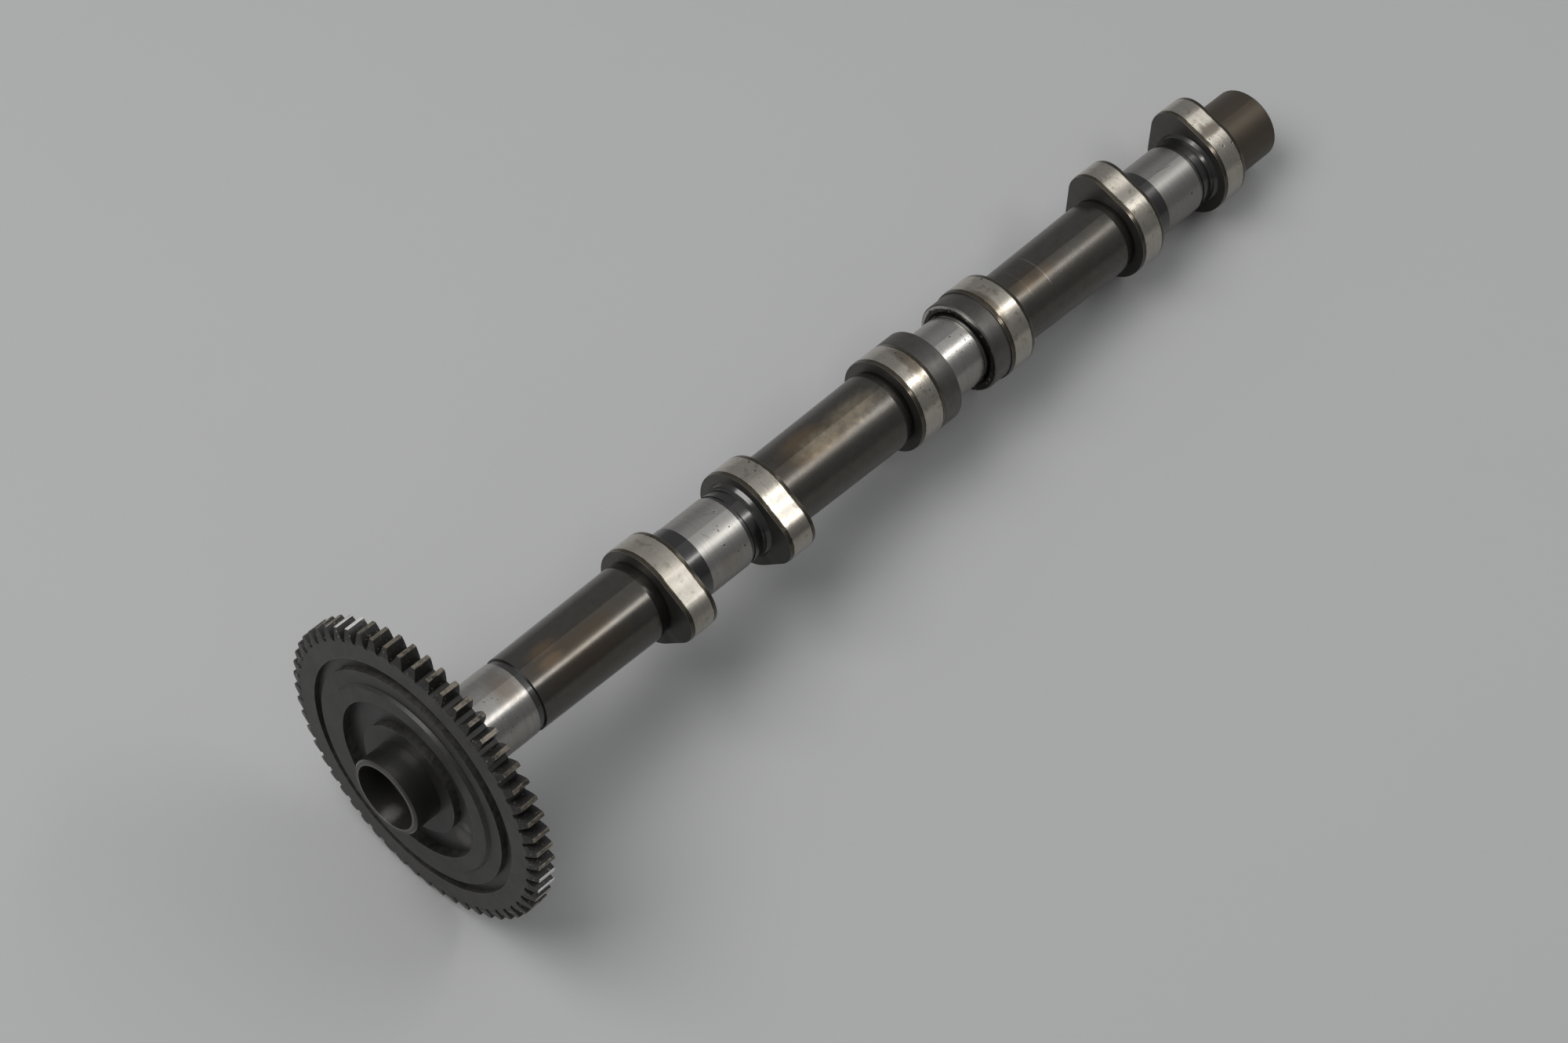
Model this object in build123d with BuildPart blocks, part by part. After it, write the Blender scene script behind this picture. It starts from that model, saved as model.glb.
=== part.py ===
from build123d import *
import math
import os

# Assembled V6 camshaft: a hydroformed steel tube that carries a spur gear, six cam rings and two
# thrust rings. Millimetres. +X runs along the axis from the gear to the rear end, +Z is up, and
# the origin is on the axis in the middle of the front journal.

# ---- Driving dimensions ------------------------------------------------------------------------
CYLINDER_PITCH = 106.0      # between the middles of neighbouring valve pairs
FIRST_PAIR_X = 93.0         # front journal to the middle of the first valve pair
LOBE_OFFSET = 21.0          # middle of a valve pair to the middle of each cam ring
PAIRS = 3

JOURNAL_R = 12.2
FRONT_JOURNAL_LENGTH = 28.4
JOURNAL_LENGTH = 16.8
THRUST_JOURNAL_X = (-8.4, 6.9)      # ends of the middle journal, from its pair's middle
RELIEF_WIDTH = 1.6          # grinding relief behind each journal
RELIEF_R = 11.7
FRONT_RELIEF_WIDTH = 2.5
THRUST_RELIEF_WIDTH = 1.1

TUBE_WALL = 2.4
SEAT_R = 12.0               # outside of the tube under every ring
NECK_R = 12.4               # unground tube beside the journals
LOCK_R = 12.95              # swell that locks a ring from the front
LOCK_LENGTH = 2.4
LOCK_KNEE = (1.2, 0.25)     # along the axis from its start, and up
BARE_RADII = [(12.3, 12.8), (12.6, 13.2), (12.25, 12.95)]   # front and rear of each bare span
SHOULDER_LENGTH = 4.0       # rounded end of a bare span, down to the seat of the next ring
SHOULDER_KNEE = (1.8, 0.4)  # back from the ring's face, and down from the span
REAR_STUB_LENGTH = 20.7
REAR_STUB_R = 12.45
STUB_R = 12.45              # front end, expanded in front of the gear
STUB_LENGTH = 9.0
STUB_BORE_R = 10.75
END_CHAMFER = 0.5
RIM_SEARCH = 0.01           # how far from an end face its rims are looked for

LOBE_WIDTH = 10.6
BASE_R = 16.1
NOSE_R = 9.2
CAM_LIFT = 4.8
NOSE_ANGLE = 167.0          # nose of the first pair, from +Y towards +Z
FIRING_STEP = 120.0
LOBE_CHAMFER_AXIAL = 1.1
LOBE_CHAMFER_RADIAL = 0.2

FRONT_COLLAR_R = 15.95
REAR_COLLAR_R = 15.5
REAR_COLLAR_LENGTH = 7.2
REAR_COLLAR_CHAMFER = 0.5
COLLAR_UNDERCUT = 1.1       # countersink of the rear thrust ring's bore, at its thrust face

TEETH = 56
MODULE = 1.7
PRESSURE_ANGLE = 20.0
BACKLASH = 0.08
DEDENDUM = 1.45             # root depth below the pitch circle, in modules
TOOTH_ANGLE = 2.32          # middle of the first tooth, from +Y towards +Z
LAND_LENGTH = 5.8
LAND_X = -22.8              # front edge of the tooth lands
TIP_CHAMFER_FRONT = (1.0, 3.2)      # along the axis and down the tooth
HUB_R = 18.0
HUB_FRONT = -2.0            # depths of the gear's faces, from the front edge of the lands
RECESS_FLOOR = 0.4
RIDGE_R = (26.2, 30.9)
RIDGE_FRONT = -2.5
WEB_R = (31.5, 36.0)
WEB_FRONT = -1.5
GROOVE_FLOOR = 0.8
RIM_R = 39.5
REAR_WEB_DEPTH = 1.0
HUB_REAR = 8.6

# ---- Derived places ----------------------------------------------------------------------------
pair_x = [FIRST_PAIR_X + i * CYLINDER_PITCH for i in range(PAIRS)]
half_lobe = LOBE_WIDTH / 2
front_ring_x = [x - LOBE_OFFSET for x in pair_x]
rear_ring_x = [x + LOBE_OFFSET for x in pair_x]
nose_offset = BASE_R + CAM_LIFT - NOSE_R

front_journal = (-FRONT_JOURNAL_LENGTH / 2, FRONT_JOURNAL_LENGTH / 2)
half_journal = JOURNAL_LENGTH / 2
journals = [(x - half_journal, x + half_journal) for x in pair_x]
journals[1] = (pair_x[1] + THRUST_JOURNAL_X[0], pair_x[1] + THRUST_JOURNAL_X[1])

relief_widths = (FRONT_RELIEF_WIDTH, RELIEF_WIDTH, THRUST_RELIEF_WIDTH, RELIEF_WIDTH)

hub_front_x = LAND_X + HUB_FRONT
tube_front_x = hub_front_x - STUB_LENGTH
tube_rear_x = rear_ring_x[-1] + half_lobe + REAR_STUB_LENGTH
seat_bore_r = SEAT_R - TUBE_WALL
rear_collar_end = rear_ring_x[1] - half_lobe
rear_collar_x = rear_collar_end - REAR_COLLAR_LENGTH
bare_starts = [front_journal[1] + FRONT_RELIEF_WIDTH, *(x + half_lobe for x in rear_ring_x[:-1])]
bare_spans = [(start, x - half_lobe) for start, x in zip(bare_starts, front_ring_x)]

pitch_r = MODULE * TEETH / 2
tip_r = pitch_r + MODULE
root_r = pitch_r - DEDENDUM * MODULE
base_circle_r = pitch_r * math.cos(math.radians(PRESSURE_ANGLE))


def across(x, angle):
    """Plane across the axis at x, whose own X direction is turned by angle from +Y towards +Z."""
    turned = Vector(0, 1, 0).rotate(Axis.X, angle)
    return Plane(origin=(x, 0, 0), x_dir=turned, z_dir=(1, 0, 0))


def sleeve(x0, x1, inner, outer):
    """Half section of a plain ring about the X axis, drawn on the XZ plane."""
    with BuildLine() as outline:
        Polyline((x0, inner), (x1, inner), (x1, outer), (x0, outer), close=True)
    make_face(outline.edges())


def bare_span(x0, x1, front_r, rear_r):
    """Half section of a bare stretch of tube: it swells to the rear and rounds down to the seat."""
    knee_back, knee_down = SHOULDER_KNEE
    with BuildLine() as outline:
        Polyline(
            (x0, 0),
            (x0, front_r),
            (x1 - SHOULDER_LENGTH, rear_r),
            (x1 - knee_back, rear_r - knee_down),
            (x1, SEAT_R),
            (x1, 0),
            close=True,
        )
    make_face(outline.edges())


def lock_swell(ring_front_x):
    """Half section of the short swell of tube that stands against a ring's front face."""
    start = ring_front_x - LOCK_LENGTH
    knee_x, knee_up = LOCK_KNEE
    with BuildLine() as outline:
        Polyline(
            (start, 0),
            (start, SEAT_R),
            (start + knee_x, SEAT_R + knee_up),
            (ring_front_x, LOCK_R),
            (ring_front_x, 0),
            close=True,
        )
    make_face(outline.edges())


def involute(radius):
    """Involute function of the pressure angle at this radius."""
    angle = math.acos(base_circle_r / radius)
    return math.tan(angle) - angle


def flank_point(radius, side):
    """Point on one flank of the tooth whose middle lies along the local X axis."""
    at_pitch = math.pi / (2 * TEETH) - BACKLASH / (2 * pitch_r)
    half_angle = side * (at_pitch + involute(pitch_r) - involute(radius))
    return (radius * math.cos(half_angle), radius * math.sin(half_angle))


# ---- Camshaft tube -----------------------------------------------------------------------------
with BuildPart() as camshaft_tube:
    with BuildSketch(Plane.XZ):
        sleeve(tube_front_x, tube_rear_x, 0, SEAT_R)
    revolve(axis=Axis.X)
    # the front end, expanded after the gear went on
    with BuildSketch(Plane.XZ):
        with BuildLine():
            Polyline(
                (tube_front_x, 0),
                (tube_front_x, STUB_R),
                (hub_front_x, STUB_R),
                (hub_front_x + STUB_R - SEAT_R, SEAT_R),
                (hub_front_x + STUB_R - SEAT_R, 0),
                close=True,
            )
        make_face()
    revolve(axis=Axis.X)
    # journals, and bare spans between the rings
    with BuildSketch(Plane.XZ):
        for start, end in (front_journal, *journals):
            sleeve(start, end, 0, JOURNAL_R)
    revolve(axis=Axis.X)
    for (x0, x1), (front_r, rear_r) in zip(bare_spans, BARE_RADII):
        with BuildSketch(Plane.XZ):
            bare_span(x0, x1, front_r, rear_r)
        revolve(axis=Axis.X)
    # unground necks between a cam ring and its journal, and the swells that lock the rear rings
    for i in (0, PAIRS - 1):
        with BuildSketch(Plane.XZ):
            sleeve(front_ring_x[i] + half_lobe, journals[i][0], 0, NECK_R)
            lock_swell(rear_ring_x[i] - half_lobe)
        revolve(axis=Axis.X)
    with BuildSketch(Plane.XZ):
        sleeve(journals[1][1], rear_collar_x, 0, NECK_R)
    revolve(axis=Axis.X)
    with BuildSketch(Plane.XZ):
        sleeve(rear_ring_x[-1] + half_lobe, tube_rear_x, 0, REAR_STUB_R)
    revolve(axis=Axis.X)
    # grinding reliefs behind the journals
    with BuildSketch(Plane.XZ):
        for (_, end), width in zip((front_journal, *journals), relief_widths):
            sleeve(end, end + width, RELIEF_R, BASE_R)
    revolve(axis=Axis.X, mode=Mode.SUBTRACT)
    # the bore, which widens inside the bare spans and towards both ends
    with BuildSketch(Plane.XZ):
        sleeve(tube_front_x, tube_rear_x, 0, seat_bore_r)
        for (x0, x1), (front_r, rear_r) in zip(bare_spans, BARE_RADII):
            sleeve(x0 + TUBE_WALL, x1 - SHOULDER_LENGTH, 0, (front_r + rear_r) / 2 - TUBE_WALL)
        sleeve(rear_ring_x[-1] + half_lobe, tube_rear_x, 0, REAR_STUB_R - TUBE_WALL)
        with BuildLine():
            Polyline(
                (tube_front_x, 0),
                (tube_front_x, STUB_BORE_R),
                (hub_front_x - STUB_R + SEAT_R, STUB_BORE_R),
                (hub_front_x, seat_bore_r),
                (hub_front_x, 0),
                close=True,
            )
        make_face()
    revolve(axis=Axis.X, mode=Mode.SUBTRACT)
    for end in (tube_front_x, tube_rear_x):
        rims = camshaft_tube.edges().filter_by(GeomType.CIRCLE)
        end_rims = rims.filter_by_position(Axis.X, end - RIM_SEARCH, end + RIM_SEARCH)
        chamfer(end_rims.sort_by(SortBy.RADIUS)[-1], END_CHAMFER)

camshaft_tube.part.label = "camshaft_tube"

# ---- Cam rings ---------------------------------------------------------------------------------
ring_places = [(x, i) for i in range(PAIRS) for x in (front_ring_x[i], rear_ring_x[i])]
cam_lobes = []
for number, (ring_x, pair) in enumerate(ring_places, start=1):
    nose_turn = NOSE_ANGLE + pair * FIRING_STEP
    ring_plane = across(ring_x - half_lobe, nose_turn)
    with BuildPart() as cam_lobe:
        # base circle and nose circle, joined by straight flanks
        with BuildSketch(ring_plane):
            Circle(BASE_R)
            with Locations((nose_offset, 0)):
                Circle(NOSE_R)
            make_hull()
            Circle(SEAT_R, mode=Mode.SUBTRACT)
        extrude(amount=LOBE_WIDTH)
        for side_face in faces().filter_by(Axis.X):
            chamfer(
                side_face.outer_wire().edges(),
                length=LOBE_CHAMFER_RADIAL,
                length2=LOBE_CHAMFER_AXIAL,
                reference=side_face,
            )
    cam_lobe.part.label = f"cam_lobe_{number}"
    cam_lobes.append(cam_lobe.part)

# ---- Thrust rings on both sides of the middle journal ------------------------------------------
with BuildPart() as thrust_collar_front:
    with BuildSketch(Plane.XZ):
        sleeve(front_ring_x[1] + half_lobe, journals[1][0], SEAT_R, FRONT_COLLAR_R)
    revolve(axis=Axis.X)
thrust_collar_front.part.label = "thrust_collar_front"

with BuildPart() as thrust_collar_rear:
    with BuildSketch(Plane.XZ):
        sleeve(rear_collar_x, rear_collar_end, SEAT_R, REAR_COLLAR_R)
    revolve(axis=Axis.X)
    thrust_face = faces().sort_by(Axis.X)[0]
    chamfer(thrust_face.outer_wire().edges(), REAR_COLLAR_CHAMFER)
    chamfer(faces().sort_by(Axis.X)[0].inner_wires()[0].edges(), COLLAR_UNDERCUT)
thrust_collar_rear.part.label = "thrust_collar_rear"

# ---- Drive gear --------------------------------------------------------------------------------
with BuildSketch() as gear_tooth:
    with BuildLine():
        root_points = [flank_point(root_r, side) for side in (-1, 1)]
        pitch_points = [flank_point(pitch_r, side) for side in (-1, 1)]
        tip_points = [flank_point(tip_r, side) for side in (-1, 1)]
        Line((0, 0), root_points[0])
        ThreePointArc(root_points[0], pitch_points[0], tip_points[0])
        ThreePointArc(tip_points[0], (tip_r, 0), tip_points[1])
        ThreePointArc(tip_points[1], pitch_points[1], root_points[1])
        Line(root_points[1], (0, 0))
    make_face()

with BuildPart() as drive_gear:
    rear_x = LAND_X + LAND_LENGTH
    rim_front_x = LAND_X - TIP_CHAMFER_FRONT[0]
    with BuildSketch(across(LAND_X + RIDGE_FRONT, TOOTH_ANGLE)):
        Circle(root_r)
        with PolarLocations(0, TEETH):
            add(gear_tooth.sketch)
    extrude(amount=HUB_REAR - RIDGE_FRONT)
    # the turned faces: hub, recess, raised ridge, web, groove and rim
    with BuildSketch(Plane.XZ):
        with BuildLine():
            Polyline(
                (LAND_X + HUB_FRONT, STUB_R),
                (LAND_X + HUB_FRONT, HUB_R),
                (LAND_X + RECESS_FLOOR, HUB_R),
                (LAND_X + RECESS_FLOOR, RIDGE_R[0]),
                (LAND_X + RIDGE_FRONT, RIDGE_R[0]),
                (LAND_X + RIDGE_FRONT, RIDGE_R[1]),
                (LAND_X + WEB_FRONT, WEB_R[0]),
                (LAND_X + WEB_FRONT, WEB_R[1]),
                (LAND_X + GROOVE_FLOOR, WEB_R[1]),
                (LAND_X + GROOVE_FLOOR, RIM_R),
                (rim_front_x, RIM_R),
                (rim_front_x, tip_r - TIP_CHAMFER_FRONT[1]),
                (LAND_X, tip_r),
                (rear_x, tip_r),
                (rear_x, RIM_R),
                (rear_x - REAR_WEB_DEPTH, RIM_R),
                (rear_x - REAR_WEB_DEPTH, HUB_R),
                (LAND_X + HUB_REAR, HUB_R),
                (LAND_X + HUB_REAR, SEAT_R),
                (LAND_X + HUB_FRONT + STUB_R - SEAT_R, SEAT_R),
                close=True,
            )
        make_face()
    revolve(axis=Axis.X, mode=Mode.INTERSECT)
drive_gear.part.label = "drive_gear"

# ---- Write one file for each piece -------------------------------------------------------------
os.makedirs("parts", exist_ok=True)
pieces = [
    camshaft_tube.part,
    *cam_lobes,
    thrust_collar_front.part,
    thrust_collar_rear.part,
    drive_gear.part,
]
for piece in pieces:
    export_step(piece, f"parts/{piece.label}.step")
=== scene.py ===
"""Finishes and studio for an assembled engine camshaft.

The shaft is a hollow tube that carries six cam rings, two thrust rings and a drive gear. In the finishes,
places along the shaft and radii are in millimetres, and angles are in degrees round the shaft, from +Y
towards +Z. In the stage, lengths are in metres.
"""

import math

import bpy
from mathutils import Matrix, Vector


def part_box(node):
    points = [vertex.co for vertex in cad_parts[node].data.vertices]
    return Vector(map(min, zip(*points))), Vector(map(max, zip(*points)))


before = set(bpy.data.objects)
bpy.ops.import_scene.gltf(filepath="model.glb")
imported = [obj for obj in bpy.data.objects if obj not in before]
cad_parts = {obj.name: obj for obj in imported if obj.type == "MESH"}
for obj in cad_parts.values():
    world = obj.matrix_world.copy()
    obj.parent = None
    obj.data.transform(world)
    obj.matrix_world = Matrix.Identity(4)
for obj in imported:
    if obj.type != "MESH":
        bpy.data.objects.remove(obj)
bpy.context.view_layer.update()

bl_info = {
    "name": "Camshaft Finishes",
    "version": (1, 0, 0),
    "blender": (4, 5, 0),
    "location": "View3D > Sidebar > Camshaft",
    "description": "Ground, oxidised and oiled steel finishes for an assembled camshaft, with its studio",
    "category": "Material",
}


# ---- Shader maths -------------------------------------------------------------------------------
class Value:
    """A number, colour or vector that a shader node gives. Arithmetic on numbers adds Math nodes."""

    def __init__(self, nodes, socket):
        self.nodes, self.socket = nodes, socket

    def math(self, operation, *others):
        return self.nodes.node("ShaderNodeMath", {"operation": operation}, dict(enumerate((self, *others))))

    def __add__(self, other):
        return self.math("ADD", other)

    __radd__ = __add__

    def __mul__(self, other):
        return self.math("MULTIPLY", other)

    __rmul__ = __mul__

    def __sub__(self, other):
        return self.math("SUBTRACT", other)

    def __rsub__(self, other):
        return self.nodes.node("ShaderNodeMath", {"operation": "SUBTRACT"}, {0: other, 1: self})

    def __truediv__(self, other):
        return self.math("DIVIDE", other)

    def __pow__(self, other):
        return self.math("POWER", other)

    def __abs__(self):
        return self.math("ABSOLUTE")

    def scaled(self, x, y, z):
        """This vector with each part multiplied by its own number."""
        return self.nodes.node("ShaderNodeVectorMath", {"operation": "MULTIPLY"}, {0: self, 1: (x, y, z)})

    def rises(self, edge, soft):
        """A mask that goes from 0 to 1 as this number passes edge."""
        return self.nodes.node(
            "ShaderNodeMapRange",
            {"interpolation_type": "SMOOTHSTEP"},
            {"Value": self, "From Min": edge - soft, "From Max": edge + soft},
        )

    def within(self, low, high, soft):
        """A mask that is 1 where this number lies between low and high."""
        return self.rises(low, soft) * (1 - self.rises(high, soft))

    def spread(self, low, high):
        """This number from low..high carried onto 0..1, and held there outside it."""
        return self.nodes.node(
            "ShaderNodeMapRange", {"clamp": True}, {"Value": self, "From Min": low, "From Max": high}
        )


class Nodes:
    """A node tree that is built up from nothing."""

    def __init__(self, tree):
        self.tree = tree
        tree.nodes.clear()

    def node(self, kind, settings, inputs, out=0):
        """Adds a node, sets its settings, fills its sockets with values or links, and gives one output."""
        node = self.tree.nodes.new(kind)
        for key, value in settings.items():
            setattr(node, key, value)
        for key, value in inputs.items():
            if isinstance(value, Value):
                self.tree.links.new(value.socket, node.inputs[key])
            elif node.inputs[key].type == "RGBA":
                node.inputs[key].default_value = (*value, 1.0)
            else:
                node.inputs[key].default_value = value
        return Value(self, node.outputs[out]) if node.outputs else None


class Finish(Nodes):
    """The material of a piece, with the piece's coordinates in millimetres."""

    def __init__(self, name):
        self.material = bpy.data.materials.new(name)
        self.material.use_nodes = True
        super().__init__(self.material.node_tree)
        self.place = self.node("ShaderNodeTexCoord", {}, {}, "Object").scaled(1000, 1000, 1000)
        self.x, self.y, self.z = self.parts(self.place)
        self.radius = (self.y * self.y + self.z * self.z) ** 0.5
        self.around = self.z.math("ARCTAN2", self.y) * (180 / math.pi)

    def parts(self, vector):
        """The three numbers of a vector."""
        split = self.node("ShaderNodeSeparateXYZ", {}, {0: vector}).socket.node
        return [Value(self, socket) for socket in split.outputs]

    def noise(self, scale, detail=2.0, rough=0.5, stretch=(1, 1, 1), shift=0.0, warp=0.0):
        """Noise between 0 and 1 with about `scale` bumps to a millimetre, fewer where stretch is under 1."""
        vector = self.place.scaled(*(scale * s for s in stretch))
        if shift:
            offset = (shift, shift, shift)
            vector = self.node("ShaderNodeVectorMath", {"operation": "ADD"}, {0: vector, 1: offset})
        return self.node(
            "ShaderNodeTexNoise",
            {},
            {"Vector": vector, "Scale": 1.0, "Detail": detail, "Roughness": rough, "Distortion": warp},
        )

    def mix(self, mask, first, second):
        """The first colour where the mask is 0, and the second where it is 1."""
        return self.node("ShaderNodeMix", {"data_type": "RGBA"}, {0: mask, 6: first, 7: second}, out=2)

    def any_of(self, masks):
        """The strongest of several masks."""
        total = masks[0]
        for mask in masks[1:]:
            total = total.math("MAXIMUM", mask)
        return total

    def spot(self, x, angle, radius, long, round_, soft, ragged, ragged_size):
        """A mask over a spot on a round surface.

        long is half its length along the shaft, round_ half its width round it, soft the share of that over
        which it fades, and ragged how far noise with ragged_size bumps to a millimetre frays its edge.
        """
        turn = math.radians(angle)
        centre = (x, radius * math.cos(turn), radius * math.sin(turn))
        away = self.node("ShaderNodeVectorMath", {"operation": "SUBTRACT"}, {0: self.place, 1: centre})
        away = away.scaled(1 / long, 1 / round_, 1 / round_)
        distance = self.node("ShaderNodeVectorMath", {"operation": "LENGTH"}, {0: away}, "Value")
        distance = distance + (self.noise(ragged_size, 3.0, 0.6, shift=x) - 0.5) * ragged
        return 1 - distance.rises(1.0, soft)

    def patches(self, places):
        """A mask over several spots, each given as spot takes it and with its strength last."""
        return self.any_of([self.spot(*place) * strength for *place, strength in places])

    def pits(self, places, radius):
        """A mask over small round pits, each given by its place, its angle and its half width."""
        return self.any_of([self.spot(x, angle, radius, size, size, 0.4, 0.5, 1.5) for x, angle, size in places])

    def scratch(self, start, end, width, radius):
        """A mask over a straight scratch between two points, each given along the shaft and round it."""
        degree = math.radians(radius)
        run, rise = end[0] - start[0], (end[1] - start[1]) * degree
        length = math.hypot(run, rise)
        cos, sin = run / length, rise / length
        x, y = self.x - start[0], (self.around - start[1]) * degree
        along, across = x * cos + y * sin, y * cos - x * sin
        return along.within(0, length, 0.1) * across.within(-width / 2, width / 2, width / 3)

    def painted_shade_mask(self):
        """A mask over the low side of the shaft towards -Y, which gets painted shade."""
        towards_y, towards_z = PAINTED_SHADE_SIDE
        return ((self.y * towards_y + self.z * towards_z) / self.radius).rises(0.72, 0.22) * 0.35

    def bump(self, layers):
        """Normals from several (height in micrometres, number) layers added together."""
        height = None
        for microns, value in layers:
            layer = value * (microns * 1e-3)
            height = layer if height is None else height + layer
        return self.node("ShaderNodeBump", {}, {"Strength": 1.0, "Distance": 0.001, "Height": height})

    def surface(self, colour, roughness, metallic, normal, coat=0.0, coat_roughness=0.2, specular=0.5):
        """Ends the nodes in a Principled shader, and gives the material."""
        shader = self.node(
            "ShaderNodeBsdfPrincipled",
            {},
            {
                "Base Color": colour,
                "Roughness": roughness,
                "Metallic": metallic,
                "Normal": normal,
                "Coat Weight": coat,
                "Coat Roughness": coat_roughness,
                "Specular IOR Level": specular,
            },
        )
        self.node("ShaderNodeOutputMaterial", {}, {"Surface": shader})
        return self.material


def tint(colour, factor):
    """The colour made darker or lighter."""
    return tuple(c * factor for c in colour)


# ---- Sizes and colours a user would change ------------------------------------------------------
def colour_setting(name, description, default):
    return bpy.props.FloatVectorProperty(
        name=name, description=description, subtype="COLOR", size=3, min=0.0, max=1.0, default=default
    )


def span_setting(name, description, default):
    """Two places along the shaft, given here in millimetres."""
    return bpy.props.FloatVectorProperty(
        name=name, description=description, unit="LENGTH", size=2, default=tuple(v / 1000 for v in default)
    )


def length_setting(name, description, default):
    """A length, given here in millimetres."""
    return bpy.props.FloatProperty(name=name, description=description, unit="LENGTH", default=default / 1000)


class TubeSettings(bpy.types.PropertyGroup):
    front_journal: span_setting("Front journal", "Ends of the ground journal behind the gear", (-14.2, 14.2))
    second_journal: span_setting("Second journal", "Ends of the journal between cams 1 and 2", (84.6, 101.4))
    thrust_journal: span_setting("Thrust journal", "Ends of the journal between the thrust rings", (190.6, 205.9))
    rear_journal: span_setting("Rear journal", "Ends of the journal between cams 5 and 6", (296.6, 313.4))
    ground_steel: colour_setting("Ground steel", "Bright ground bearing surfaces", (0.45, 0.432, 0.402))
    dull_steel: colour_setting("Dull steel", "Duller ground surface of the rear journal", (0.335, 0.322, 0.300))
    oxide: colour_setting("Oxide", "Brown-grey skin of the bare tube", (0.116, 0.108, 0.096))
    amber: colour_setting("Amber varnish", "Baked oil on the bare tube", (0.25, 0.178, 0.112))
    beige: colour_setting("Beige varnish", "Pale dried oil on the middle of the tube", (0.36, 0.31, 0.225))
    brown: colour_setting("Brown skin", "Brown bands and the rear end of the tube", (0.118, 0.097, 0.074))
    neck: colour_setting("Neck", "Black unground tube beside the journals", (0.074, 0.072, 0.069))
    bore: colour_setting("Bore", "Inside of the tube", (0.115, 0.110, 0.104))
    pit: colour_setting("Pits", "Dirt in pits and scratches", (0.05, 0.045, 0.04))


class CamSettings(bpy.types.PropertyGroup):
    strip: length_setting("Strip", "Unground strip along each edge of a cam's running face", 1.4)
    ground_steel: colour_setting("Ground steel", "Running face of the cams", (0.552, 0.508, 0.434))
    strip_steel: colour_setting("Strip steel", "Unground strips beside the running face", (0.085, 0.073, 0.054))
    side: colour_setting("Sides", "Black oxidised sides", (0.122, 0.118, 0.112))
    stain: colour_setting("Stain", "Brown varnish stains", (0.20, 0.155, 0.105))
    pit: colour_setting("Pits", "Dirt in the pits", (0.06, 0.05, 0.04))


class CollarSettings(bpy.types.PropertyGroup):
    dark_steel: colour_setting("Dark steel", "Oxidised rim of the thrust rings", (0.138, 0.130, 0.121))
    ground_steel: colour_setting("Ground steel", "Ground thrust faces", (0.52, 0.50, 0.47))


class GearSettings(bpy.types.PropertyGroup):
    dark_steel: colour_setting("Dark steel", "Oily charcoal surface of the gear", (0.047, 0.0452, 0.0425))
    # a darker colour laid between the teeth and in the recesses
    groove: colour_setting("Grooves", "Soot between the teeth and in the recesses", (0.017, 0.0162, 0.0155))
    olive: colour_setting("Olive steel", "Oily, partly worn tooth lands", (0.30, 0.265, 0.210))
    # painted highlight: near-white glint on the lands at two places
    painted_glint_steel: colour_setting("Worn steel", "Bright lands of the worn teeth", (0.82, 0.81, 0.79))
    # painted light: a lit patch and a smear beside the hub in the deep recess
    painted_light_patch: colour_setting("Rubbed patch", "Rubbed patch and smear in the deep recess", (0.15, 0.14, 0.12))


class StageSettings(bpy.types.PropertyGroup):
    floor_lean: bpy.props.FloatProperty(
        name="Floor lean",
        description="Lean of the floor under the shaft, which rests on its gear and its last cam",
        subtype="ANGLE",
        default=math.radians(5.467),
    )
    floor_depth: length_setting("Floor depth", "Distance from the shaft's origin to the floor", 47.46)
    floor_colour: colour_setting("Floor", "Plain pale floor", (0.47, 0.47, 0.465))
    lens: bpy.props.FloatProperty(
        name="Lens", description="Focal length on a 36 mm sensor", unit="CAMERA", default=82.7607
    )
    camera_place: bpy.props.FloatVectorProperty(
        name="Camera place", description="Where the camera stands", unit="LENGTH", size=3,
        default=(-0.416913, -0.364835, 0.849861),
    )
    camera_turn: bpy.props.FloatVectorProperty(
        name="Camera turn", description="XYZ turn of the camera", subtype="EULER", size=3,
        default=(0.637041, -0.124031, -0.818685),
    )


# ---- The camshaft tube --------------------------------------------------------------------------
PAINTED_SHADE = (0.015, 0.014, 0.013)         # painted shade: near-black laid on the low side of the tube and the cams
PAINTED_SHADE_SIDE = (-0.966, -0.259)        # Y and Z of the way that the side under this painted shade faces

JOURNAL_RADIUS = 12.2
BORE_LIMIT = 11.3                   # a radius within the tube's wall: what lies inside it is bore
RELIEF_LIMIT = 11.85                # a radius just over the floor of the grinding reliefs
FRONT_END = -33.2                   # just behind the front end face
FRONT_STUB = -20                    # a place inside the gear's hub
REAR_STUB = 331.5                   # rear side of the last cam
NECKS = ((77.2, 84.7), (101.4, 108.8), (206.0, 207.6), (289.2, 296.7), (313.4, 320.8), (14.2, 16.8))
THRUST_RELIEF = (205.9, 207.6)      # between the thrust journal and its rear ring
DULL_SPANS = ((119.3, 172.7), (225.3, 278.7))
PAINTED_HIGHLIGHT_SIDE = (74, 108)              # angles between which the journals are painted lighter, as a painted highlight
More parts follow.
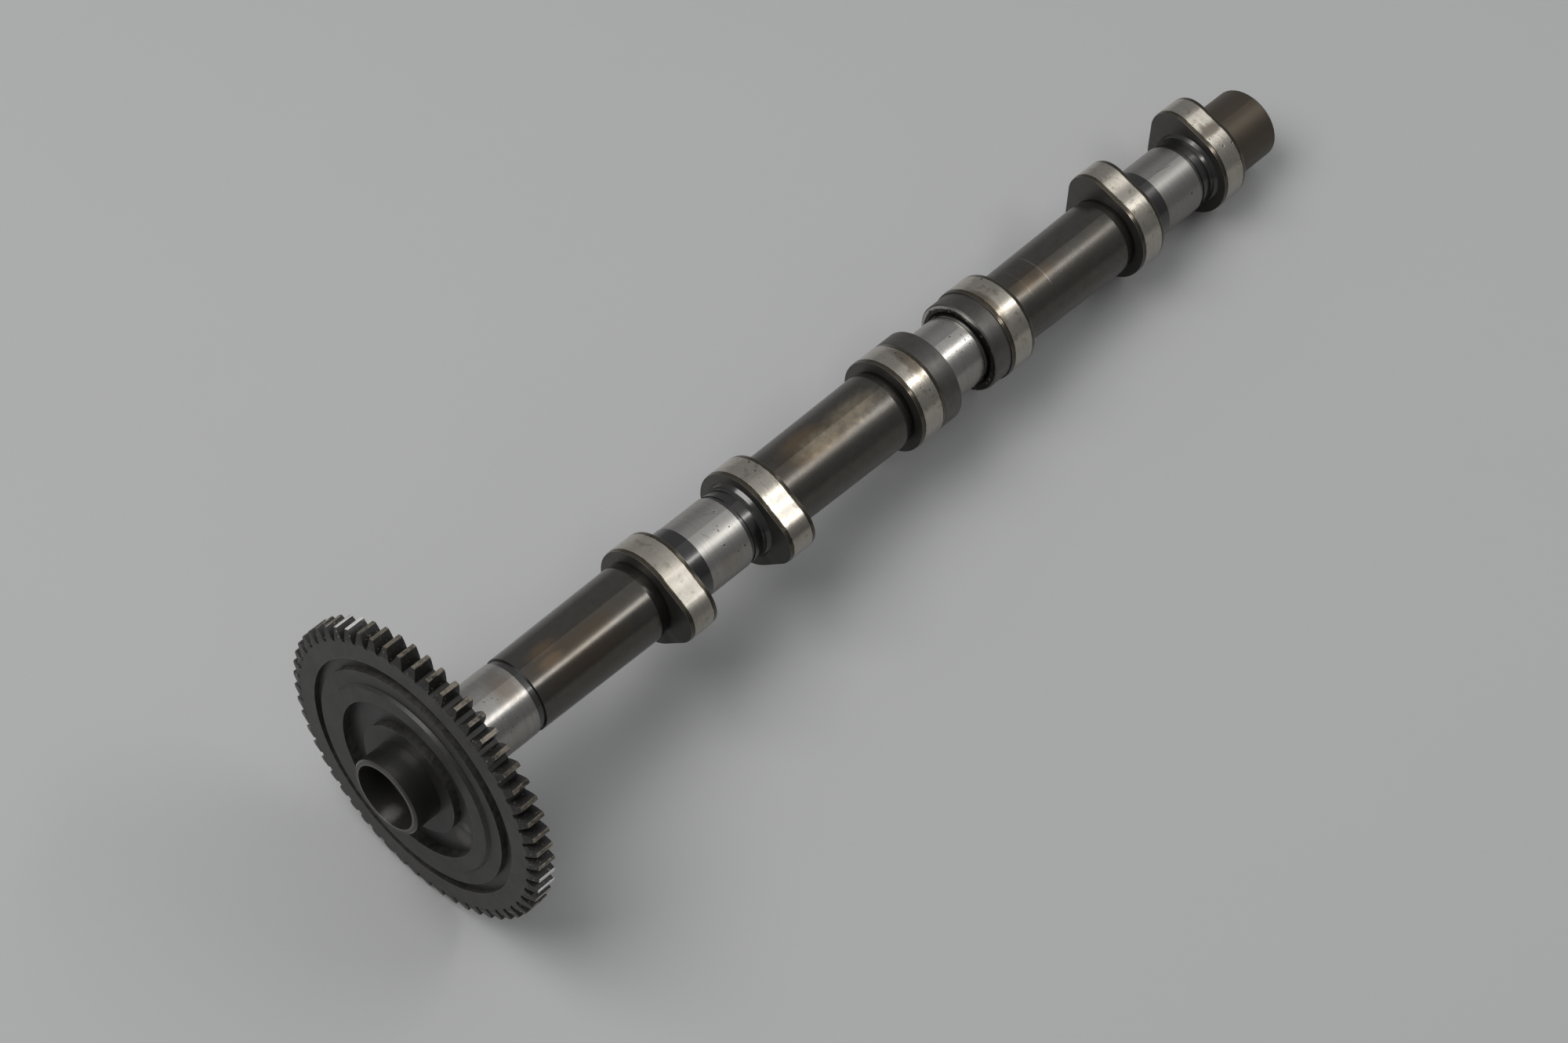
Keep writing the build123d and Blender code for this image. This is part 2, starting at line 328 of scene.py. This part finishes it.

# Patches: place along the shaft, angle, radius, half length, half width, softness, raggedness,
# bumps of the ragged edge to a millimetre, strength
BROWN_PATCHES = (
    (35, 103, 12.5, 17, 2.6, 0.5, 0.7, 0.3, 1),
    (36, 134, 12.5, 15, 2.8, 0.5, 0.7, 0.3, 1),
    (140, 95, 12.9, 15, 4.0, 0.6, 0.9, 0.25, 1),
    (236, 98, 12.6, 10, 3.0, 0.6, 0.9, 0.3, 1),
)
AMBER_PATCHES = (
    (26.3, 85, 12.5, 4.5, 1.8, 0.7, 0.8, 0.5, 1),
    (25.8, 105, 12.5, 3.8, 1.5, 0.7, 0.8, 0.5, 1),
    (136, 76, 12.9, 7, 3.0, 0.7, 0.9, 0.4, 1),
    (138, 101, 12.9, 8, 1.7, 0.7, 0.9, 0.4, 0.8),
    (233.7, 100, 12.5, 2.8, 1.6, 0.7, 0.9, 0.5, 0.35),
    (242.4, 102, 12.6, 2.5, 1.4, 0.7, 0.9, 0.5, 0.3),
)
BEIGE_PATCHES = (
    (141, 94, 13.0, 9, 2.6, 0.7, 1.1, 0.4, 1),
    (155, 90, 13.0, 9, 3.4, 0.7, 1.2, 0.4, 1),
)
JOURNAL_STAINS = (
    (9.5, 92, 12.2, 4.2, 5.0, 0.6, 0.9, 0.35, 1),
    (93.5, 156, 12.2, 4, 3, 0.7, 0.9, 0.4, 0.5),
)
# painted highlight: a light streak inside the bore's mouth, given as spot takes it
PAINTED_BORE_GLINT = (-31.5, 268, 10.75, 3.2, 2.2, 0.6, 0.9, 0.7)

# Pits: place along the shaft, angle, half width
JOURNAL_PITS = (
    (97.7, 112, 0.22), (92.9, 128, 0.30), (99.2, 147, 0.26), (96.4, 148, 0.20),
    (200.0, 92, 0.26), (199.6, 121, 0.20), (308.6, 149, 0.30), (7.4, 139, 0.22),
)
# Scratches: place along the shaft and angle of each end, width
JOURNAL_SCRATCHES = (
    ((94.6, 74), (97.8, 84), 0.14),
    ((89.2, 96), (90.4, 108), 0.10),
    ((3.0, 128), (8.5, 133), 0.12),
    ((302.0, 88), (307.5, 93), 0.10),
)


def tube_finish(settings):
    """Ground journals on a brown-grey oxidised tube, with oil varnish, black necks and a dark bore."""
    f = Finish("tube_steel")
    journals = [[v * 1000 for v in span] for span in (
        settings.front_journal, settings.second_journal, settings.thrust_journal, settings.rear_journal)]
    outside = f.radius.rises(BORE_LIMIT, 0.05)
    ragged = (f.noise(0.9, 3.0, 0.6) - 0.5) * 0.25
    ground = f.any_of([(f.x + ragged).within(low, high, 0.12) for low, high in journals]) * outside
    bare = 1 - ground
    relief = f.radius.within(BORE_LIMIT, RELIEF_LIMIT, 0.05)
    front_stub = 1 - f.x.rises(FRONT_STUB, 1)
    rear_stub = f.x.rises(REAR_STUB, 0.3)
    necks = f.any_of([f.x.within(low, high, 0.1) for low, high in NECKS])
    black = f.any_of([necks, front_stub])
    around_second_journal, around_rear_journal = f.x.within(80, 106, 1), f.x.within(290, 320, 1)

    # brown-grey skin, darker in patches, with varnish drawn along the tube
    cloud = f.noise(0.055, 4.0, 0.6, (1.0, 1.3, 1.3), shift=3.1)
    streak = f.noise(0.5, 4.0, 0.65, (0.10, 1.0, 1.0), shift=8.0)
    mottle = f.noise(0.32, 4.0, 0.65, shift=14.0)
    fine = f.noise(3.0, 3.0, 0.6)
    skin = f.mix((cloud * 0.7 + streak * 0.4).spread(0.5, 0.75) * 0.35, settings.oxide, settings.brown)
    skin = f.mix(mottle.spread(0.42, 0.72) * 0.35, skin, tint(settings.oxide, 0.5))
    skin = f.mix(fine.spread(0.45, 0.75) * 0.25, skin, tint(settings.oxide, 1.6))
    skin = f.mix(f.any_of([f.patches(BROWN_PATCHES), rear_stub * 0.9]), skin, settings.brown)
    skin = f.mix(f.patches(AMBER_PATCHES) * 0.65, skin, settings.amber)
    beige = f.patches(BEIGE_PATCHES) * (0.6 + mottle.spread(0.4, 0.65) * 0.4)
    skin = f.mix(beige, skin, settings.beige)
    # faint rings where a tool touched the third bare span
    rings = f.any_of([f.x.within(241.5, 241.85, 0.08), f.x.within(233.3, 233.55, 0.08) * 0.5])
    skin = f.mix(rings * f.around.within(58, 122, 6) * 0.8, skin, tint(settings.oxide, 2.4))

    # grinding lines run round the journals; stains, pits and scratches break them
    lines = f.noise(5.0, 3.0, 0.7, (1.0, 0.03, 0.03))
    broad_lines = f.noise(0.9, 2.0, 0.5, (1.0, 0.02, 0.02), shift=5.0)
    haze = f.noise(0.25, 3.0, 0.6, shift=33.0)
    steel = f.mix(around_rear_journal, settings.ground_steel, settings.dull_steel)
    darker = lines.spread(0.4, 0.65) * 0.32 + broad_lines.spread(0.4, 0.7) * 0.2 + haze.spread(0.5, 0.75) * 0.1
    steel = f.mix(darker, steel, tint(settings.ground_steel, 0.55))
    # painted highlight: the journals lighter on their upper side
    steel = f.mix(f.around.within(*PAINTED_HIGHLIGHT_SIDE, 9) * 0.3, steel, tint(settings.ground_steel, 1.6))
    steel = f.mix(f.patches(JOURNAL_STAINS) * 0.5, steel, settings.amber)
    pits = f.pits(JOURNAL_PITS, JOURNAL_RADIUS)
    dust_pits = f.noise(1.1, 1.0, 0.4, (1.0, 0.8, 0.8), shift=21.0).rises(0.76, 0.02)
    scratches = f.any_of([f.scratch(*ends_and_width, JOURNAL_RADIUS) for ends_and_width in JOURNAL_SCRATCHES])
    steel = f.mix(f.any_of([pits, dust_pits * 0.7, scratches * 0.8]), steel, settings.pit)

    colour = f.mix(black, skin, settings.neck)
    end_face = (1 - f.x.rises(FRONT_END, 0.15)) * outside
    colour = f.mix(end_face * 0.8, colour, tint(settings.oxide, 0.9))
    colour = f.mix(ground, colour, steel)
    colour = f.mix(relief, colour, tint(settings.neck, 1.1))
    # painted highlight: the thrust relief painted light steel, for the glint along its edge
    colour = f.mix(relief * f.x.within(*THRUST_RELIEF, 0.1), colour, settings.dull_steel)
    # painted shade on the low side of the tube
    colour = f.mix(outside * f.painted_shade_mask(), colour, PAINTED_SHADE)
    # painted highlight: a light streak inside the bore's mouth
    bore = f.mix(f.spot(*PAINTED_BORE_GLINT) * 0.8, settings.bore, settings.ground_steel)
    colour = f.mix(1 - outside, colour, bore)

    dull_spans = f.any_of([f.x.within(low, high, 0.5) for low, high in DULL_SPANS])
    dull_journals = f.any_of([around_second_journal, around_rear_journal])
    roughness = 0.15 + streak * 0.07 + mottle * 0.05 + rear_stub * 0.22 + front_stub * 0.20
    roughness = roughness + bare * (dull_spans * 0.07 + necks * 0.03)
    roughness = roughness + ground * (0.03 + lines * 0.05 + dull_journals * 0.07) + relief * 0.1
    metallic = 0.92 + ground * 0.08
    normal = f.bump([
        (5, (lines + broad_lines * 0.6) * ground),
        (1.5, fine * bare),
        (3, streak * bare),
        (-45, f.any_of([pits, dust_pits, scratches]) * ground),
    ])
    return f.surface(colour, roughness, metallic, normal, coat=black * bare * 0.45, coat_roughness=0.07)


# ---- Cam rings ----------------------------------------------------------------------------------
BASE_RADIUS = 16.1
BORE_EDGE = 12.6                    # a radius between the bore and the sides
# The way the nose of each cam points
NOSE_ANGLES = {1: 167.0, 2: 167.0, 3: 287.0, 4: 287.0, 5: 47.0, 6: 47.0}
# The hollow of a flank: its angles from the nose at half depth, the soft part at both ends, and its depth
HOLLOW_SPAN, HOLLOW_SOFT, HOLLOW_MICRONS = (31.2, 46.3), 7.5, 240
# Extra roughness of a duller running face
CAM_DULLNESS = {1: 0.13}
# Pits in a running face: place along the shaft, angle, half width
CAM_PITS = {
    2: [(117.0, 67, 0.40), (115.4, 81, 0.35)],
    3: [
        (180.3, 72, 0.34), (179.7, 83, 0.28), (181.4, 97, 0.24),
        (177.3, 122, 0.26), (179.6, 130, 0.30), (179.2, 146, 0.24),
    ],
    4: [(223.2, 63, 0.45)],
    6: [(329.5, 121, 0.40), (325.7, 118, 0.35), (330.9, 122, 0.35)],
}
# Broader stains: place along the shaft, angle, half length, half width
CAM_STAINS = {
    3: [(180.5, 90, 2.0, 7.0)],
    4: [(216.5, 95, 1.6, 8.0)],
    6: [(326.5, 94.5, 4.4, 1.9), (324.6, 92, 1.2, 3.0)],
}


def cam_finish(settings, number):
    """Satin running face between two unground strips, and black oxidised sides."""
    low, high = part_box(f"cam_lobe_{number}")
    front, rear, strip = low.x * 1000, high.x * 1000, settings.strip * 1000
    f = Finish(f"cam_steel_{number}")
    facing_x = abs(f.parts(f.node("ShaderNodeTexCoord", {}, {}, "Normal"))[0])
    side = facing_x.rises(0.6, 0.1)
    bore = 1 - f.radius.rises(BORE_EDGE, 0.2)
    ragged = (f.noise(0.7, 3.0, 0.6, shift=number * 7.0) - 0.5) * 0.5
    band = (f.x + ragged).within(front + strip, rear - strip, 0.10) * (1 - side)

    # both flanks are ground a quarter of a millimetre hollow, for a roller
    nose = math.radians(NOSE_ANGLES[number])
    nose_cosine = (f.y * math.cos(nose) + f.z * math.sin(nose)) / f.radius
    from_nose = nose_cosine.math("ARCCOSINE") * (180 / math.pi)
    hollow = from_nose.within(*HOLLOW_SPAN, HOLLOW_SOFT)

    # grinding lines along the running direction, cloudy wear, brown stains and pits
    ground_steel = settings.ground_steel
    lines = f.noise(4.0, 3.0, 0.65, (1.0, 0.04, 0.04), shift=number)
    cloud = f.noise(0.16, 3.0, 0.55, shift=number * 3.0)
    dust = f.noise(0.9, 4.0, 0.7, shift=number * 4.0)
    freckles = f.noise(0.35, 4.0, 0.6, shift=number * 11.0).rises(0.62, 0.05)
    pits = f.noise(1.3, 1.0, 0.4, shift=number * 5.0).rises(0.76, 0.02)
    if number in CAM_PITS:
        pits = f.any_of([pits, f.pits(CAM_PITS[number], BASE_RADIUS)])
    darker = cloud.spread(0.35, 0.7) * 0.30 + lines.spread(0.35, 0.65) * 0.38
    steel = f.mix(darker, ground_steel, tint(ground_steel, 0.6))
    steel = f.mix(dust.spread(0.5, 0.8) * 0.3, steel, tint(ground_steel, 1.25))
    steel = f.mix(freckles * 0.42, steel, settings.stain)
    if number in CAM_STAINS:
        stains = [
            f.spot(x, angle, BASE_RADIUS, long, round_, 0.35, 0.6, 0.8)
            for x, angle, long, round_ in CAM_STAINS[number]
        ]
        steel = f.mix(f.any_of(stains) * 0.75, steel, settings.stain)
    steel = f.mix(pits * 0.8, steel, settings.pit)

    # the strips are dark, with a lighter olive line near the outer edge
    strip_steel = settings.strip_steel
    strip_tone = f.noise(0.8, 3.0, 0.6, shift=number * 2.0)
    strips = f.mix(strip_tone.spread(0.35, 0.7), strip_steel, tint(strip_steel, 0.45))
    edge_line = f.any_of([
        f.x.within(front + 0.45, front + 0.95, 0.15),
        f.x.within(rear - 0.95, rear - 0.45, 0.15),
    ])
    strips = f.mix(edge_line * strip_tone.spread(0.3, 0.6) * 0.7, strips, tint(strip_steel, 2.2))
    rim_wear = f.any_of([1 - f.x.rises(front + 0.18, 0.1), f.x.rises(rear - 0.18, 0.1)]) * (1 - side)
    strips = f.mix(rim_wear * 0.35, strips, ground_steel)

    side_tone = f.noise(0.25, 4.0, 0.6, shift=number * 13.0)
    side_grit = f.noise(1.6, 3.0, 0.65, shift=number * 17.0)
    sides = f.mix(side_tone.spread(0.4, 0.75) * 0.3, settings.side, tint(settings.side, 0.55))
    sides = f.mix(side_grit.spread(0.55, 0.8) * 0.35, sides, tint(settings.side, 1.5))

    colour = f.mix(band, strips, steel)
    colour = f.mix(side, colour, sides)
    # painted shade on the low side of the cam
    colour = f.mix(f.painted_shade_mask(), colour, PAINTED_SHADE)
    colour = f.mix(bore, colour, tint(settings.side, 0.4))
    roughness = 0.21 + band * (CAM_DULLNESS.get(number, 0) + lines * 0.05 + cloud * 0.04) + side * 0.24
    metallic = 0.92 + band * 0.08
    normal = f.bump([
        (5, lines * band),
        (7, strip_tone * (1 - band)),
        (-40, pits * band),
        (-HOLLOW_MICRONS, hollow),
    ])
    return f.surface(colour, roughness, metallic, normal, coat=side * 0.1 + band * 0.6, coat_roughness=0.1)


# ---- Thrust rings -------------------------------------------------------------------------------
WORN_RADIUS = 14.3                  # the thrust faces are worn bright outside this radius
PAINTED_HIGHLIGHT_ANGLES = (-40, 98)             # and, as painted highlight, only between these angles


def collar_finish(settings):
    """Dark satin rims, and thrust faces worn bright along their outer edge, with the bright part kept to one side
    as painted highlight.
    """
    f = Finish("collar_steel")
    front_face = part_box("thrust_collar_front")[1].x * 1000
    rear_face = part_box("thrust_collar_rear")[0].x * 1000
    thrust_faces = f.any_of([
        f.x.within(front_face - 0.05, front_face + 0.5, 0.02),
        f.x.within(rear_face - 0.5, rear_face + 0.05, 0.02),
    ])
    dark_steel = settings.dark_steel
    tone = f.noise(0.3, 4.0, 0.6)
    lines = f.noise(3.0, 3.0, 0.65, (1.0, 0.05, 0.05))
    rim = f.mix(tone.spread(0.35, 0.7) * 0.45, dark_steel, tint(dark_steel, 0.55))
    rim = f.mix(lines.spread(0.5, 0.75) * 0.25, rim, tint(dark_steel, 1.5))
    ragged = (f.noise(0.45, 3.0, 0.6, shift=2.0) - 0.5) * 1.6
    # the bright wear is kept between two angles: painted highlight on one side
    worn = (f.radius + ragged).rises(WORN_RADIUS, 0.35) * f.around.within(*PAINTED_HIGHLIGHT_ANGLES, 18)
    flecks = f.noise(0.7, 3.0, 0.6, shift=6.0).rises(0.64, 0.04)
    face = f.mix(f.any_of([worn, flecks * 0.7]), tint(dark_steel, 0.35), settings.ground_steel)
    colour = f.mix(thrust_faces, rim, face)
    roughness = 0.40 + tone * 0.08 - thrust_faces * 0.10
    normal = f.bump([(5, lines), (7, tone)])
    return f.surface(colour, roughness, 0.95, normal)


# ---- Drive gear ---------------------------------------------------------------------------------
TOOTH_COUNT = 56
FIRST_TOOTH_ANGLE = 2.32            # middle of a tooth
TOOTH_START, LAND_START = 45.4, 49.12
DEEP_RECESS, SHALLOW_RECESS = (18.2, 26.0), (36.2, 39.3)
TURNED_EDGES = (18.0, 26.2, 36.0, 39.5)
PAINTED_SHADE_RADII = (36, 26.2)            # the face is darker inside the first, and darker again inside the second: painted shade in the recessed middle
# Patches, given as on the tube
# painted light: a lit patch and a smear beside the hub in the deep recess
PAINTED_LIGHT_PATCHES = (
    (-22.4, 205, 22.5, 4, 3.2, 0.5, 0.9, 0.4, 1),
    (-22.4, 190, 21, 4, 1.6, 0.5, 0.9, 0.4, 1),
)
# painted highlight: glint on the lands at two places, given as on the tube
PAINTED_GLINT_LANDS = (
    (-20, 52, 49.3, 6, 5, 0.4, 0.4, 0.4, 1),
    (-20, 180, 49.3, 6, 6, 0.4, 0.4, 0.4, 1),
)


def gear_finish(settings):
    """Oily charcoal gear with turned faces, darker tooth gaps, and lands worn in patches."""
    f = Finish("gear_steel")
    tone = f.noise(0.12, 4.0, 0.6)
    smear = f.noise(0.35, 4.0, 0.65, shift=4.0, warp=0.6)
    grit = f.noise(2.2, 3.0, 0.65)
    turned = f.node(
        "ShaderNodeTexNoise", {"noise_dimensions": "1D"}, {"W": f.radius * 3.5, "Scale": 1.0, "Detail": 2.0}
    )
    recess = f.any_of([f.radius.within(*DEEP_RECESS, 0.3), f.radius.within(*SHALLOW_RECESS, 0.25)])

    dark = settings.dark_steel
    body = f.mix(tone.spread(0.35, 0.65) * 0.6, dark, tint(dark, 0.6))
    body = f.mix(smear.spread(0.5, 0.75) * 0.45, body, (dark[0] * 1.9, dark[1] * 1.75, dark[2] * 1.55))
    body = f.mix(grit.spread(0.5, 0.8) * 0.3, body, tint(dark, 1.8))
    body = f.mix(turned.spread(0.45, 0.7) * 0.2, body, tint(dark, 1.7))
    # painted shade: the recessed middle of the face darkened in two steps
    first_step, second_step = [(1 - f.radius.rises(radius, 0.3)) * 0.25 for radius in PAINTED_SHADE_RADII]
    body = f.mix(first_step + second_step, body, tint(dark, 0.25))
    # the recesses darker in patches
    body = f.mix(recess * smear.spread(0.4, 0.7) * 0.3, body, settings.groove)
    # turned edges a little lighter, partly rubbed and partly painted highlight, and a painted patch of light and
    # a lighter smear in the deep recess
    edges = f.any_of([f.radius.within(radius - 0.22, radius + 0.22, 0.12) for radius in TURNED_EDGES])
    body = f.mix(edges * smear.spread(0.35, 0.65) * 0.5, body, tint(dark, 2.6))
    body = f.mix(f.patches(PAINTED_LIGHT_PATCHES) * 0.45, body, settings.painted_light_patch)

    # teeth: darker in the gaps, lands worn in patches, with light corners
    tooth_turn = (f.around - FIRST_TOOTH_ANGLE) * (TOOTH_COUNT / 360) + TOOTH_COUNT
    from_middle = 0.5 - abs(tooth_turn.math("FRACT") - 0.5)     # share of a tooth pitch
    teeth = f.radius.rises(TOOTH_START, 0.4)
    lands = f.radius.rises(LAND_START, 0.06)
    corners = lands * from_middle.within(0.10, 0.20, 0.03)
    worn = f.noise(0.20, 3.0, 0.6, shift=9.0)
    ragged = f.noise(0.9, 4.0, 0.7, shift=12.0)
    bright = f.patches(PAINTED_GLINT_LANDS)
    gap_darkening = teeth * (1 - lands) * (0.35 + ragged.spread(0.4, 0.65) * 0.5)
    colour = f.mix(gap_darkening, body, settings.groove)
    colour = f.mix(lands * (worn * 0.6 + ragged * 0.5).spread(0.40, 0.60) * 0.85, colour, settings.olive)
    colour = f.mix(corners * ragged.spread(0.45, 0.65) * 0.6, colour, tint(settings.olive, 1.6))
    # painted highlight on the lands at two places
    colour = f.mix(lands * bright * (0.7 + ragged * 0.3), colour, settings.painted_glint_steel)
    chipped = f.noise(1.0, 3.0, 0.6, shift=30.0).rises(0.66, 0.03) * f.radius.within(45.5, 49.2, 0.3)
    colour = f.mix(chipped * 0.7, colour, tint(settings.olive, 1.3))

    roughness = 0.38 + tone * 0.10 + grit * 0.08 - lands * bright * 0.12
    metallic = 0.45 + lands * 0.5 - recess * 0.3 - lands * bright * 0.6
    normal = f.bump([(10, grit), (16, tone), (7, turned), (60, ragged * teeth)])
    return f.surface(colour, roughness, metallic, normal, coat=0.15, coat_roughness=0.2)


def put_finish(node, material):
    """Puts the material in each of a piece's material slots."""
    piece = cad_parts[node]
    if not piece.material_slots:
        raise RuntimeError(f"{node} has no material slot")
    for held in piece.material_slots:
        held.material = material


class CAMSHAFT_OT_tube(bpy.types.Operator):
    """Finish the hollow tube with its four ground journals"""

    bl_idname = "camshaft.tube"
    bl_label = "Camshaft tube"

    def execute(self, context):
        put_finish("camshaft_tube", tube_finish(context.scene.camshaft_tube))
        return {"FINISHED"}


class CAMSHAFT_OT_cams(bpy.types.Operator):
    """Finish the six cam rings, each with its own wear"""

    bl_idname = "camshaft.cams"
    bl_label = "Cam rings"

    def execute(self, context):
        for number in NOSE_ANGLES:
            put_finish(f"cam_lobe_{number}", cam_finish(context.scene.camshaft_cams, number))
        return {"FINISHED"}


class CAMSHAFT_OT_collars(bpy.types.Operator):
    """Finish the two thrust rings"""

    bl_idname = "camshaft.collars"
    bl_label = "Thrust rings"

    def execute(self, context):
        finish = collar_finish(context.scene.camshaft_collars)
        put_finish("thrust_collar_front", finish)
        put_finish("thrust_collar_rear", finish)
        return {"FINISHED"}


class CAMSHAFT_OT_gear(bpy.types.Operator):
    """Finish the drive gear"""

    bl_idname = "camshaft.gear"
    bl_label = "Drive gear"

    def execute(self, context):
        put_finish("drive_gear", gear_finish(context.scene.camshaft_gear))
        return {"FINISHED"}


# ---- Stage --------------------------------------------------------------------------------------
FLOOR_SIZE = 8.0
LAMP_AIM = (0.16, 0, 0)             # the middle of the shaft
WINDOW_RUN = (0.51, 0.42, 0.02)     # the way the windows' long sides run
# Name, place, the way the long side runs, length, width, power in watts. A tall window beside the shaft
# is dimmer towards the rear end, a soft sheet hangs above it, and the key light is at the gear's end.
LAMPS = (
    ("window_near", (0.575, -0.372, 0.762), WINDOW_RUN, 0.58, 0.105, 1.32),
    ("window_far", (0.920, -0.080, 0.780), WINDOW_RUN, 0.33, 0.105, 0.16),
    ("soft_sheet", (0.70, -0.02, 1.04), WINDOW_RUN, 0.85, 0.75, 0.48),
    ("key_panel", (-0.55, 0.45, 1.25), (1, 1, 0), 1.1, 0.9, 13.5),
)
# The surroundings: their tint, their strength at level height, and how it grows along Y and up
SKY_TINT = (0.98, 1.0, 1.04)
SKY_LEVEL, SKY_SLOPE = 0.20, (0.0, 0.06, 0.09)


def panel_lamp(name, place, run, length, width, power):
    """A soft rectangular lamp that shines at the shaft, with its long side along a direction."""
    place, aim, run = Vector(place), Vector(LAMP_AIM), Vector(run)
    back = (place - aim).normalized()
    side = (run - back * run.dot(back)).normalized()
    turn = Matrix((side, back.cross(side), back)).transposed()
    bpy.ops.object.light_add(type="AREA", location=place, rotation=turn.to_euler())
    lamp = bpy.context.object
    lamp.name = name
    lamp.data.shape = "RECTANGLE"
    lamp.data.size, lamp.data.size_y = length, width
    lamp.data.energy = power


class CAMSHAFT_OT_stage(bpy.types.Operator):
    """Set up the floor, the lamps, the surroundings and the camera"""

    bl_idname = "camshaft.stage"
    bl_label = "Stage"

    def execute(self, context):
        settings = context.scene.camshaft_stage
        bpy.ops.object.select_all(action="DESELECT")
        lean = settings.floor_lean
        up = Vector((-math.sin(lean), 0, math.cos(lean)))
        bpy.ops.mesh.primitive_plane_add(
            size=FLOOR_SIZE, location=-up * settings.floor_depth, rotation=(0, -lean, 0)
        )
        floor = context.object
        floor.name = "floor"
        bpy.ops.object.transform_apply(location=True, rotation=True, scale=True)
        finish = Finish("pale_floor")
        colour = finish.mix(
            finish.noise(0.02, 2.0, 0.5), tint(settings.floor_colour, 0.985), settings.floor_colour
        )
        grain = finish.bump([(20, finish.noise(0.8))])
        floor.data.materials.append(finish.surface(colour, 0.7, 0.0, grain, specular=0.2))

        for lamp in LAMPS:
            panel_lamp(*lamp)

        world = bpy.data.worlds.new("studio")
        world.use_nodes = True
        sky = Nodes(world.node_tree)
        direction = sky.node("ShaderNodeTexCoord", {}, {}, "Generated")
        slope = sky.node(
            "ShaderNodeVectorMath", {"operation": "DOT_PRODUCT"}, {0: direction, 1: SKY_SLOPE}, "Value"
        )
        light = sky.node("ShaderNodeBackground", {}, {"Color": SKY_TINT, "Strength": slope + SKY_LEVEL})
        sky.node("ShaderNodeOutputWorld", {}, {"Surface": light})
        context.scene.world = world

        bpy.ops.object.camera_add(location=settings.camera_place, rotation=settings.camera_turn)
        camera = context.object
        camera.data.sensor_width = 36.0
        camera.data.lens = settings.lens
        camera.data.clip_start, camera.data.clip_end = 0.01, 20.0
        context.scene.camera = camera
        context.scene.view_settings.view_transform = "Standard"
        return {"FINISHED"}


class CAMSHAFT_PT_panel(bpy.types.Panel):
    """Lists the camshaft's pieces in the sidebar"""

    bl_idname = "CAMSHAFT_PT_panel"
    bl_label = "Camshaft"
    bl_space_type = "VIEW_3D"
    bl_region_type = "UI"
    bl_category = "Camshaft"

    def draw(self, context):
        for operator in OPERATORS:
            self.layout.operator(operator.bl_idname, text=operator.bl_label)


SETTINGS = {
    "camshaft_tube": TubeSettings,
    "camshaft_cams": CamSettings,
    "camshaft_collars": CollarSettings,
    "camshaft_gear": GearSettings,
    "camshaft_stage": StageSettings,
}
OPERATORS = (CAMSHAFT_OT_stage, CAMSHAFT_OT_tube, CAMSHAFT_OT_cams, CAMSHAFT_OT_collars, CAMSHAFT_OT_gear)
CLASSES = (*SETTINGS.values(), *OPERATORS, CAMSHAFT_PT_panel)


def register():
    for cls in CLASSES:
        bpy.utils.register_class(cls)
    for name, group in SETTINGS.items():
        setattr(bpy.types.Scene, name, bpy.props.PointerProperty(type=group))


def unregister():
    for name in SETTINGS:
        delattr(bpy.types.Scene, name)
    for cls in reversed(CLASSES):
        bpy.utils.unregister_class(cls)


def main():
    register()
    bpy.ops.camshaft.stage()
    bpy.ops.camshaft.tube()
    bpy.ops.camshaft.cams()
    bpy.ops.camshaft.collars()
    bpy.ops.camshaft.gear()


if __name__ == "__main__":
    main()
